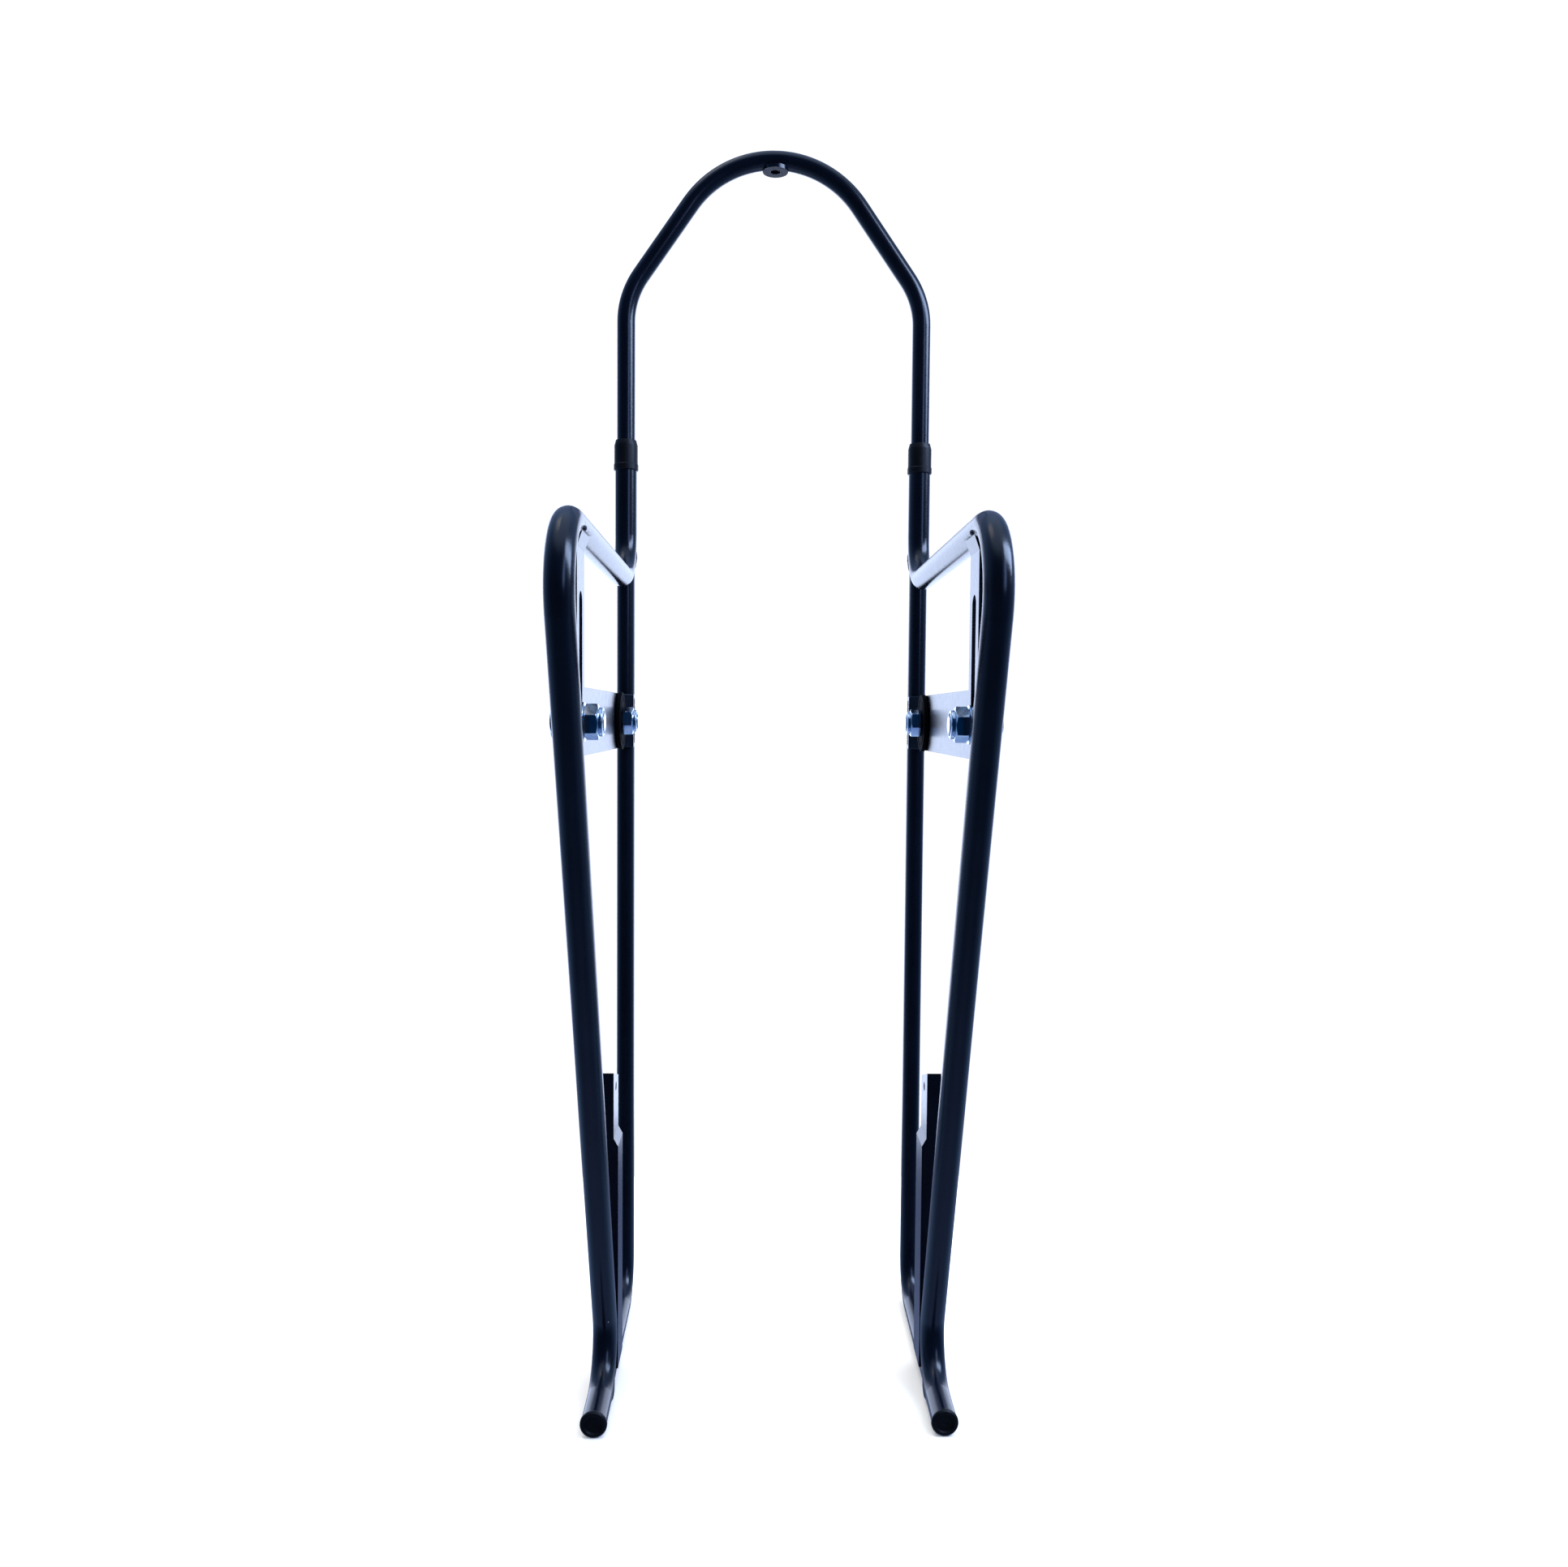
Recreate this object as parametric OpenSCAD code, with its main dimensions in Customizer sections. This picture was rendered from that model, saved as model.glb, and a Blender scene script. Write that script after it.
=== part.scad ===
// Wheel-straddling bicycle rack: two bent side frames joined over the wheel by a plug-in hoop.
// The floor is Z = 0, the front is towards -Y and the origin is under the middle of the rack.
// The modules are drawn with the rear centre line at Y = 0 and moved back when they are placed.
// Every side piece is drawn for the right-hand side, +X, and mirrored for the left.

/* [Side frames] */
// Distance between the centre lines of the two side frames
track = 164; // [140:2:220]
// Outer diameter of the side tube
side_tube_d = 12; // [11:0.5:14]
// Height of the top bar's centre line
bar_height = 411.5; // [380:0.5:440]
// Distance from the rear centre line to the foremost centre line of the top bend
reach = 232; // [220:1:245]
// Angle between the long slanted run and the vertical
lean = 21.75; // [20:0.25:24]
// Distance from the rear centre line to the open front ends
foot_reach = 137; // [130:1:145]
// Centre line radius of the top front bend
top_bend_r = 28; // [24:1:32]
// Centre line radius of the lower bend
low_bend_r = 22; // [18:1:26]
// Centre line radius of the bend below the socket
stub_bend_r = 25; // [22:1:28]
// Height of the top of the socket
socket_top = 484; // [470:1:500]
// Outer diameter of the rear rod
rod_d = 10; // [8:0.5:11]
// Centre line radius of the rear rod's floor bend
rod_bend_r = 20; // [16:1:26]

/* [Hoop] */
// Outer diameter of the hoop
hoop_d = 10; // [9:0.5:10]
// Height of the crown's centre line
crown_height = 642; // [620:1:680]
// Angle by which each leg bends inwards
leg_turn = 35; // [30:1:40]
// Centre line radius of the leg bends
leg_bend_r = 45; // [35:1:55]
// Centre line radius of the crown
crown_r = 57; // [50:1:65]
// Length of hoop leg inside each socket
plug_depth = 40; // [20:1:42]
// Diameter of the round boss under the crown
boss_d = 14; // [11:0.5:16]
// Diameter of the screw hole through the boss and the crown
boss_hole_d = 5.2; // [4:0.1:6]

/* [Straps] */
// Width of the slotted and lower straps
strap_w = 20; // [18:1:22]
// Thickness of the slotted strap
slot_strap_t = 3; // [2:0.5:4]
// Width of the slot
slot_w = 8.6; // [8.4:0.1:9.5]
// Travel of the bolt along the slot
slot_travel = 48; // [30:1:50]
// Thickness of the lower strap
low_strap_t = 7; // [6:0.5:8]
// Height of the lower strap's front top corner
low_strap_top = 158.5; // [150:0.5:168]
// Angle by which the lower strap's top end falls to the rear
low_top_fall = 18; // [0:1:25]
// Diameter of the hole in the lower strap
low_hole_d = 4.5; // [3:0.1:6]

/* [Swing plates] */
// Height of the pivot and of the slot bolt at rest
pivot_height = 333; // [325:0.5:340]
// Distance from the rear centre line to the pivot
pivot_reach = 36; // [34:1:40]
// Distance from the rear centre line to the slot
slot_reach = 197; // [195:0.5:199]
// Thickness of the swing plate and of the pivot bracket
plate_t = 3; // [2:0.5:3]
// Height of the swing plate and of the pivot bracket
plate_w = 29.4; // [26:0.2:31]
// Diameter of the rubber friction disc
disc_d = 30.5; // [26:0.5:34]
// Thickness of the friction disc
disc_t = 2.3; // [1.5:0.1:2.5]

/* [Fasteners] */
// Diameter of the hexagon bolts
bolt_d = 8; // [7:0.5:8]
// Length of the pivot bolt under its head
pivot_bolt_l = 17; // [16.5:0.5:20]
// Length of the slot bolt under its head
slot_bolt_l = 16; // [15.5:0.5:20]
// Width of hexagon heads and nuts across flats
hex_af = 13; // [12:0.5:13]
// Height of the bolt heads
head_h = 5.3; // [4:0.1:6]
// Height of the lock nuts with their collar
nut_h = 7.6; // [6:0.1:8]
// Diameter of the plain washers
washer_d = 16; // [15:0.5:18]
// Thickness of the plain washers
washer_t = 1.6; // [1:0.1:2]

/* [Hidden] */
$fn = 64;

// Colours of the powder coat, zinc plating, rubber, plastic plugs and nylon
coat = "#171b26";
zinc = "#b9c2cc";
rubber = "#0c0c0e";
plastic = "#121316";
nylon = "#d9dde0";

// Half the track, and the clearances used throughout
side_x = track / 2;
over = 1;             // run-out of a cut past the face that it opens
lap = 0.4;            // length by which a straight run laps over the bends beside it
lap_d = 0.02;         // extra diameter of a straight run, so that the lap is a clean step
joint_lap = 0.01;     // overlap of two solids that are joined face to face
fit_gap = 0.05;       // radial clearance of a running fit
slide_gap = 0.1;      // gap between flat faces that slide
tube_bore = hoop_d + 2 * fit_gap;
rod_wall = 1;

// The end cap stands a little proud of its tube, so it carries the tube's foot
cap_d = side_tube_d + 0.8;

// Side tube route, from the open front end to the top of the socket
foot_z = cap_d / 2;
slant_run = (bar_height - top_bend_r - foot_z - low_bend_r
    - (low_bend_r + top_bend_r) * sin(lean)) / cos(lean);
low_bend_y = -reach + top_bend_r - (low_bend_r + top_bend_r) * cos(lean) + slant_run * sin(lean);
side_route = [
    [low_bend_y + foot_reach, 90 + lean, low_bend_r],
    [slant_run, -90 - lean, top_bend_r],
    [reach - top_bend_r - stub_bend_r, 90, stub_bend_r],
    [socket_top - bar_height - stub_bend_r, 0, 0]
];

// Rear rod route, downwards from inside the socket bend and forwards along the floor
rod_top = bar_height + stub_bend_r - 6;
rod_z = rod_d / 2;
rod_reach = -low_bend_y - side_tube_d;
rod_route = [
    [rod_top - rod_z - rod_bend_r, 90, rod_bend_r],
    [rod_reach - rod_bend_r, 0, 0]
];

// Hoop route, from the end of the left leg over the crown to the end of the right leg
slope_run = (side_x - leg_bend_r * (1 - cos(leg_turn)) - crown_r * cos(leg_turn)) / sin(leg_turn);
slope_top = crown_height - crown_r * (1 - sin(leg_turn));
leg_bend_z = slope_top - slope_run * cos(leg_turn) - leg_bend_r * sin(leg_turn);
leg_foot = socket_top - plug_depth;
hoop_wall = 1.2;
crown_solid_turn = 12;  // half angle of the crown that stays solid for the screw hole
hoop_route = [
    [leg_bend_z - leg_foot, leg_turn, leg_bend_r],
    [slope_run, 180 - 2 * leg_turn, crown_r],
    [slope_run, leg_turn, leg_bend_r],
    [leg_bend_z - leg_foot, 0, 0]
];
leg_bore_route = [
    [leg_bend_z - leg_foot + over, leg_turn, leg_bend_r],
    [slope_run, 90 - leg_turn - crown_solid_turn, crown_r]
];
boss_t = 2;
boss_drop = 1.2;        // how far the boss stands below the crown

// Collar around the joint of socket and hoop
collar_base = socket_top - 12;
collar_top = socket_top + 4.6;
collar_r = side_tube_d / 2 + 0.8;
collar_body_r = side_tube_d / 2 + 0.5;
collar_ring_h = 3.6;
collar_gap = 0.3;
collar_edge = 0.4;
set_screw_z = collar_base + 8.5;
set_screw_d = 5;
set_screw_socket_d = 2.9;
set_screw_socket_depth = 0.6;

// Distance from the rear centre line to the middle of the rack's depth
set_back = (reach + side_tube_d / 2 - collar_r) / 2;

// Stack of plates along X at the slot and the pivot, from the middle of the rack outwards
strap_in = side_x - 3;
strap_out = strap_in + slot_strap_t;
plate_in = strap_out + 2 * slide_gap;
plate_out = plate_in + plate_t;
bracket_in = plate_out + 2 * slide_gap;
bracket_out = bracket_in + plate_t;
disc_in = plate_in - 2 * slide_gap - disc_t;
slot_washer_out = strap_in - slide_gap;
slot_nut_out = slot_washer_out - washer_t;
slot_head_in = plate_out + slide_gap;

// Slot strap
slot_strap_low = pivot_height - 13.5;
slot_strap_high = bar_height - 2;
slot_tab_in = strap_in - 2.3;
slot_jog_low = bar_height - 9.5;
slot_jog_high = bar_height - 3;
slot_jog_shift = 0.5;   // offset of the outer bend lines, which keeps the strap's thickness
corner_r = 3;

// Lower strap, behind the slanted tube and on top of the rear rod
low_strap_y = -82;
low_strap_foot = 8;
low_foot_in = side_x - 6.2;
low_jog = 2.2;          // how far the strap steps outwards
low_jog_z = 121.5;
low_jog_rise = 4;
low_jog_shift = 1.8;    // offset of the outer bend lines, which keeps the strap's thickness
low_hole_z = low_strap_top - 9.5;

// Swing plate, in the side plane, with its front end cut parallel to the slanted tube
plate_half_w = plate_w / 2;
plate_front = slot_reach + 9;
fork_w = bolt_d + 1.6;

// Lock nuts: the crimped collar, and the nylon ring under its rim
crimp_h = 1.8;
thread_gap = 0.02;
ring_d = bolt_d + 2.4;
ring_h = 2.4;
ring_cover = 0.4;

// End cap
cap_lip = 2;
cap_plug = 12;
cap_recess_d = 8.8;
cap_recess = 0.9;

// Mirrors its children for the left-hand side, -1, and leaves them for the right, 1
module for_side(side) {
    mirror([side < 0 ? 1 : 0, 0, 0]) children();
}

// Places a finished side piece in the rack
module on_side(side) {
    translate([0, set_back, 0]) for_side(side) children();
}

// Turns a route that runs along +Z and bends towards +X into one that runs along +Y and bends up
module rearward_up() {
    rotate([-90, 0, 0]) rotate([0, 0, -90]) children();
}

// Turns a route that runs along +Z and bends towards +X into one that runs down and bends forwards
module downward_front() {
    rotate([180, 0, 0]) rotate([0, 0, 90]) children();
}

// One bend of a round bar, which starts along +Z and turns towards +X, or -X when turn is negative
module bend(d, turn, r) {
    rotate([0, 0, turn < 0 ? 180 : 0])
        translate([r, 0, 0])
            rotate([90, 0, 180])
                rotate_extrude(angle = abs(turn)) translate([r, 0]) circle(d = d);
}

// A round bar that follows a route of steps, each a straight run, a turn and a bend radius
module bent_bar(route, d, step = 0) {
    run = route[step][0];
    turn = route[step][1];
    r = route[step][2];
    way = turn < 0 ? -1 : 1;
    lap_before = step > 0 ? lap : 0;
    lap_after = turn != 0 ? lap : 0;
    translate([0, 0, -lap_before]) cylinder(d = d + lap_d, h = lap_before + run + lap_after);
    if (turn != 0) {
        translate([0, 0, run]) bend(d, turn, r);
    }
    if (step + 1 < len(route)) {
        translate([way * r * (1 - cos(turn)), 0, run + r * sin(abs(turn))])
            rotate([0, turn, 0])
                bent_bar(route, d, step + 1);
    }
}

// The same route with both ends made longer, for a bore that opens them
function longer(route) = [
    for (i = [0 : len(route) - 1])
        [route[i][0] + (i == 0 ? over : 0) + (i == len(route) - 1 ? over : 0), route[i][1], route[i][2]]
];

module bent_tube(route, d, bore) {
    difference() {
        bent_bar(route, d);
        translate([0, 0, -over]) bent_bar(longer(route), bore);
    }
}

// Places a side tube route in the right-hand side frame
module side_tube_place() {
    translate([side_x, -foot_reach, foot_z]) rearward_up() children();
}

// The outside of the right-hand side tube, as a cutter for the pieces welded to it
module side_tube_outside() {
    side_tube_place() bent_bar(side_route, side_tube_d);
}

module side_tube() {
    color(coat) difference() {
        side_tube_place() bent_tube(side_route, side_tube_d, tube_bore);
        set_screw_hole();
    }
}

module end_cap() {
    plug_d = tube_bore - 2 * fit_gap;
    edge = 0.8;
    hollow = 8;
    color(plastic) translate([side_x, -foot_reach, foot_z]) rotate([-90, 0, 0]) difference() {
        union() {
            translate([0, 0, -cap_lip]) rotate_extrude() polygon([
                [0, 0], [cap_d / 2 - edge, 0], [cap_d / 2, edge], [cap_d / 2, cap_lip], [0, cap_lip]
            ]);
            cylinder(d = plug_d, h = cap_plug);
        }
        translate([0, 0, -cap_lip - over]) cylinder(d = cap_recess_d, h = cap_recess + over);
        translate([0, 0, cap_plug - hollow]) cylinder(d = plug_d - 3, h = hollow + over);
    }
}

module rear_rod() {
    color(coat) difference() {
        translate([side_x, 0, rod_top]) downward_front()
            bent_tube(rod_route, rod_d, rod_d - 2 * rod_wall);
        side_tube_outside();
    }
}

// A strip along Y whose thickness is drawn as an X-Z outline
module strip(y, w, outline) {
    translate([0, y + w / 2, 0]) rotate([90, 0, 0]) linear_extrude(w) polygon(outline);
}

// A strip of the side plane, drawn as a Y-Z shape and given a thickness along X
module side_sheet(x, t) {
    translate([x, 0, 0]) rotate([90, 0, 90]) linear_extrude(t) children();
}

// An upright outline with rounded lower corners
module rounded_foot(y, w, low, high, r) {
    translate([y - w / 2, low + r]) square([w, high - low - r]);
    translate([y - w / 2 + r, low]) square([w - 2 * r, r + joint_lap]);
    for (way = [-1, 1]) {
        translate([y + way * (w / 2 - r), low + r]) circle(r = r);
    }
}

// The slotted strap, which hangs from the top bar and is welded to it and to the slanted tube
module slot_strap() {
    outline = [
        [strap_in, slot_strap_low], [strap_out, slot_strap_low],
        [strap_out, slot_jog_low + slot_jog_shift],
        [slot_tab_in + slot_strap_t, slot_jog_high + slot_jog_shift],
        [slot_tab_in + slot_strap_t, slot_strap_high], [slot_tab_in, slot_strap_high],
        [slot_tab_in, slot_jog_high], [strap_in, slot_jog_low]
    ];
    color(coat) difference() {
        intersection() {
            strip(-slot_reach, strap_w, outline);
            side_sheet(slot_tab_in - over, 20)
                rounded_foot(-slot_reach, strap_w, slot_strap_low, slot_strap_high, corner_r);
        }
        side_tube_outside();
        side_sheet(strap_in - over, slot_strap_t + 2 * over)
            slot_shape(-slot_reach, pivot_height, slot_travel);
    }
}

// A slot with round ends, from its lower centre upwards
module slot_shape(y, z, travel) {
    translate([y, z]) circle(d = slot_w);
    translate([y, z + travel]) circle(d = slot_w);
    translate([y - slot_w / 2, z]) square([slot_w, travel]);
}

// The lower strap, which stands on the rear rod against the lower bend and steps outwards near its top
module lower_strap() {
    high_in = low_foot_in + low_jog;
    jog_top = low_jog_z + low_jog_rise;
    top_rear = low_strap_top - strap_w * tan(low_top_fall);
    front = low_strap_y - strap_w / 2;
    outline = [
        [low_foot_in, low_strap_foot], [low_foot_in + low_strap_t, low_strap_foot],
        [low_foot_in + low_strap_t, low_jog_z - low_jog_shift],
        [high_in + low_strap_t, jog_top - low_jog_shift],
        [high_in + low_strap_t, low_strap_top], [high_in, low_strap_top],
        [high_in, jog_top], [low_foot_in, low_jog_z]
    ];
    color(coat) difference() {
        intersection() {
            strip(low_strap_y, strap_w, outline);
            side_sheet(low_foot_in - over, 20) polygon([
                [front, low_strap_foot], [front + strap_w, low_strap_foot],
                [front + strap_w, top_rear], [front, low_strap_top]
            ]);
        }
        side_tube_outside();
        rod_outside();
        translate([high_in - over, low_strap_y, low_hole_z]) rotate([0, 90, 0])
            cylinder(d = low_hole_d, h = low_strap_t + 2 * over);
    }
}

// The outside of the rod's run along the floor, as a cutter
module rod_outside() {
    translate([side_x, -rod_reach, rod_z]) rotate([-90, 0, 0]) cylinder(d = rod_d, h = rod_reach);
}

// Where the pivot bracket's web runs at a given x: its back touches the rod, its front is plate_t off
function web_back(x) = side_x - (rod_d / 2 - 0.2) * sqrt(2) - x;
function web_front(x) = web_back(x) - plate_t * sqrt(2);

// The pivot bracket: an ear outside the swing plate and a web that slants in to the rear rod
module pivot_bracket() {
    web_in = side_x - rod_d / 2;
    front = -pivot_reach - plate_half_w;
    color(coat) difference() {
        intersection() {
            translate([0, 0, pivot_height - plate_half_w]) linear_extrude(plate_w) polygon([
                [web_in, web_back(web_in)], [web_in, web_front(web_in)],
                [bracket_in, web_front(bracket_in)], [bracket_in, front],
                [bracket_out, front], [bracket_out, web_back(bracket_out)]
            ]);
            side_sheet(side_x - rod_d, 2 * rod_d) {
                translate([-pivot_reach, pivot_height]) circle(r = plate_half_w);
                translate([-pivot_reach, pivot_height - plate_half_w]) square([pivot_reach, plate_w]);
            }
        }
        translate([side_x, 0, 0]) cylinder(d = rod_d, h = 2 * pivot_height);
        pivot_hole(bracket_in, bolt_d + 4 * slide_gap);
    }
}

// The pivot's hole through a plate whose inner face is at x
module pivot_hole(x, d) {
    translate([x - over, -pivot_reach, pivot_height]) rotate([0, 90, 0])
        cylinder(d = d, h = plate_t + 2 * over);
}

module collar() {
    lip_r = hoop_d / 2 + collar_gap;
    inner_r = side_tube_d / 2 + 0.02;
    ring_top = collar_base + collar_ring_h;
    taper = 1.6;
    color(plastic) difference() {
        translate([side_x, 0, 0]) rotate_extrude() polygon([
            [inner_r, collar_base], [collar_r - collar_edge, collar_base],
            [collar_r, collar_base + collar_edge], [collar_r, ring_top - collar_edge],
            [collar_body_r, ring_top], [collar_body_r, socket_top + taper],
            [lip_r + collar_edge, collar_top], [lip_r, collar_top], [lip_r, socket_top],
            [inner_r, socket_top]
        ]);
        set_screw_hole();
    }
}

// Places its children on the back of the socket, along +Y from its centre line
module set_screw_place() {
    translate([side_x, 0, set_screw_z]) rotate([-90, 0, 0]) children();
}

// The hole for the set screw, through the collar and the socket's rear wall
module set_screw_hole() {
    set_screw_place() cylinder(d = set_screw_d + 0.1, h = collar_r + over);
}

// The screw that clamps the hoop in its socket, flush with the collar, with a hexagon recess
module set_screw() {
    color(coat) set_screw_place() difference() {
        translate([0, 0, hoop_d / 2 + collar_gap])
            cylinder(d = set_screw_d, h = collar_body_r - hoop_d / 2 - collar_gap);
        translate([0, 0, collar_body_r - set_screw_socket_depth])
            cylinder(d = set_screw_socket_d, h = over, $fn = 6);
    }
}

// The hoop: a tube whose crown is solid where a screw hole passes down through it and its boss
module hoop() {
    color(coat) difference() {
        union() {
            translate([-side_x, 0, leg_foot]) bent_bar(hoop_route, hoop_d);
            translate([0, 0, crown_height - hoop_d / 2 - boss_drop]) cylinder(d = boss_d, h = boss_t);
        }
        for (way = [-1, 1]) {
            for_side(way) translate([-side_x, 0, leg_foot - over])
                bent_bar(leg_bore_route, hoop_d - 2 * hoop_wall);
        }
        translate([0, 0, crown_height - hoop_d]) cylinder(d = boss_hole_d, h = 2 * hoop_d);
    }
}

// The swing plate: round at its pivot, with a fork at the front that rides on the slot bolt
module swing_plate() {
    front_low = plate_front - plate_half_w * tan(lean);
    front_high = plate_front + plate_half_w * tan(lean);
    color(coat) difference() {
        side_sheet(plate_in, plate_t) difference() {
            union() {
                polygon([
                    [-front_low, pivot_height - plate_half_w], [-pivot_reach, pivot_height - plate_half_w],
                    [-pivot_reach, pivot_height + plate_half_w], [-front_high, pivot_height + plate_half_w]
                ]);
                translate([-pivot_reach, pivot_height]) circle(r = plate_half_w);
            }
            translate([-slot_reach, pivot_height]) circle(d = fork_w);
            translate([-front_high, pivot_height - fork_w / 2])
                square([front_high - slot_reach, fork_w]);
        }
        pivot_hole(plate_in, bolt_d + 2 * fit_gap);
    }
}

module friction_disc() {
    edge = 0.6;
    color(rubber) translate([disc_in, -pivot_reach, pivot_height]) rotate([0, 90, 0]) difference() {
        rotate_extrude() polygon([
            [0, 0], [disc_d / 2 - edge, 0], [disc_d / 2, edge], [disc_d / 2, disc_t], [0, disc_t]
        ]);
        translate([0, 0, -over]) cylinder(d = bolt_d + 2 * slide_gap, h = disc_t + 2 * over);
    }
}

// A hexagon with both corner edges turned down, standing on Z = 0
module hexagon(h) {
    corner_r = hex_af / sqrt(3);
    face_r = hex_af / 2 - 0.2;
    turned_h = 0.7;
    intersection() {
        cylinder(r = corner_r, h = h, $fn = 6);
        rotate_extrude() polygon([
            [0, 0], [face_r, 0], [corner_r, turned_h],
            [corner_r, h - turned_h], [face_r, h], [0, h]
        ]);
    }
}

// A hexagon bolt along X whose head rests at x_head, with a thread of the given length
module hex_bolt(y, x_head, length) {
    tip = 0.8;
    color(zinc) translate([x_head, y, pivot_height]) rotate([0, 90, 0]) {
        hexagon(head_h);
        translate([0, 0, -length]) rotate_extrude() polygon([
            [0, 0], [bolt_d / 2 - tip, 0], [bolt_d / 2, tip],
            [bolt_d / 2, length + joint_lap], [0, length + joint_lap]
        ]);
    }
}

module plain_washer(y, x_out) {
    color(zinc) translate([x_out - washer_t, y, pivot_height]) rotate([0, 90, 0]) difference() {
        cylinder(d = washer_d, h = washer_t);
        translate([0, 0, -over]) cylinder(d = bolt_d + 4 * slide_gap, h = washer_t + 2 * over);
    }
}

// A lock nut along X whose outer face is at x_out: hexagon, crimped collar and seat for its ring
module lock_nut(y, x_out) {
    rim_r = hex_af / 2;
    color(zinc) translate([x_out, y, pivot_height]) rotate([0, -90, 0]) difference() {
        union() {
            hexagon(nut_h - crimp_h);
            translate([0, 0, nut_h - crimp_h - joint_lap]) rotate_extrude() polygon([
                [0, 0], [rim_r - 0.4, 0], [rim_r - 0.5, crimp_h - 0.8],
                [rim_r - 1.3, crimp_h + joint_lap], [0, crimp_h + joint_lap]
            ]);
        }
        translate([0, 0, -over]) cylinder(d = bolt_d + 2 * thread_gap, h = nut_h + 2 * over);
        translate([0, 0, nut_h - ring_cover - ring_h]) cylinder(d = ring_d, h = ring_h);
    }
}

// The nylon ring inside a lock nut
module lock_ring(y, x_out) {
    color(nylon) translate([x_out, y, pivot_height]) rotate([0, -90, 0]) difference() {
        translate([0, 0, nut_h - ring_cover - ring_h + thread_gap])
            cylinder(d = ring_d - 2 * thread_gap, h = ring_h - 2 * thread_gap);
        translate([0, 0, -over]) cylinder(d = bolt_d + 2 * thread_gap, h = nut_h + 2 * over);
    }
}

module pivot_bolt() { hex_bolt(-pivot_reach, bracket_out, pivot_bolt_l); }
module pivot_nut() { lock_nut(-pivot_reach, disc_in); }
module pivot_nut_ring() { lock_ring(-pivot_reach, disc_in); }
module slot_bolt() { hex_bolt(-slot_reach, slot_head_in, slot_bolt_l); }
module slot_washer() { plain_washer(-slot_reach, slot_washer_out); }
module slot_nut() { lock_nut(-slot_reach, slot_nut_out); }
module slot_nut_ring() { lock_ring(-slot_reach, slot_nut_out); }

on_side(-1) side_tube();  // left_side_tube
on_side(1) side_tube();  // right_side_tube
on_side(-1) end_cap();  // left_end_cap
on_side(1) end_cap();  // right_end_cap
on_side(-1) rear_rod();  // left_rear_rod
on_side(1) rear_rod();  // right_rear_rod
on_side(-1) slot_strap();  // left_slot_strap
on_side(1) slot_strap();  // right_slot_strap
on_side(-1) lower_strap();  // left_lower_strap
on_side(1) lower_strap();  // right_lower_strap
on_side(-1) pivot_bracket();  // left_pivot_bracket
on_side(1) pivot_bracket();  // right_pivot_bracket
on_side(-1) collar();  // left_collar
on_side(1) collar();  // right_collar
on_side(-1) set_screw();  // left_set_screw
on_side(1) set_screw();  // right_set_screw
translate([0, set_back, 0]) hoop();
on_side(-1) swing_plate();  // left_swing_plate
on_side(1) swing_plate();  // right_swing_plate
on_side(-1) friction_disc();  // left_friction_disc
on_side(1) friction_disc();  // right_friction_disc
on_side(-1) pivot_bolt();  // left_pivot_bolt
on_side(1) pivot_bolt();  // right_pivot_bolt
on_side(-1) pivot_nut();  // left_pivot_nut
on_side(1) pivot_nut();  // right_pivot_nut
on_side(-1) pivot_nut_ring();  // left_pivot_nut_ring
on_side(1) pivot_nut_ring();  // right_pivot_nut_ring
on_side(-1) slot_bolt();  // left_slot_bolt
on_side(1) slot_bolt();  // right_slot_bolt
on_side(-1) slot_washer();  // left_slot_washer
on_side(1) slot_washer();  // right_slot_washer
on_side(-1) slot_nut();  // left_slot_nut
on_side(1) slot_nut();  // right_slot_nut
on_side(-1) slot_nut_ring();  // left_slot_nut_ring
on_side(1) slot_nut_ring();  // right_slot_nut_ring
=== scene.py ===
import math

import bmesh
import bpy
from mathutils import Matrix, Vector
from mathutils.bvhtree import BVHTree


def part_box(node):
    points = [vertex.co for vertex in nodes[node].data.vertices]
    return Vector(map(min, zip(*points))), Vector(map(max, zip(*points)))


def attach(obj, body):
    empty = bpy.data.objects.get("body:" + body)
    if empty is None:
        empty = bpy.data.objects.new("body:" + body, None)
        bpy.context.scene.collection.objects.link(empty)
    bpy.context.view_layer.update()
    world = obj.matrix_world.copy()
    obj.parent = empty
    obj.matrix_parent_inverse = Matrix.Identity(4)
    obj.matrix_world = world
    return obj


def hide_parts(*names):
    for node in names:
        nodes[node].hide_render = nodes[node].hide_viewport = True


# Looks for the wheel-straddling rack: powder coat, welds, zinc fasteners, rubber and plastic plugs.
# X runs across the rack, Y to its rear and Z up, in metres. Pieces that replace CAD nodes are turned
# around an axis in their own frame, and then placed on the node's box.

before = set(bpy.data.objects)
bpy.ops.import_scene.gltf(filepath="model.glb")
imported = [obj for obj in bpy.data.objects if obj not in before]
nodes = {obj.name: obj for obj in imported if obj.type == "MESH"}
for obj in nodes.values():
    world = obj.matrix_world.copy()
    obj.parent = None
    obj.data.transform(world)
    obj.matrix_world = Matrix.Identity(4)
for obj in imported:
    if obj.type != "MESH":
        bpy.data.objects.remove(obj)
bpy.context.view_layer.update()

SIDES = (("left", -1), ("right", 1))
MM = 0.001

# ---------------------------------------------------------------- camera

CAMERA_PLACE = Vector((-0.0084, -0.5733, 0.3353))
CAMERA_TILT = 0.054   # downwards, in radians
CAMERA_TURN = 0.023   # towards +X
CAMERA_ROLL = -0.008
CAMERA_LENS = 27.95
SENSOR_WIDTH = 36
CLIP_START = 0.01


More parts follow.
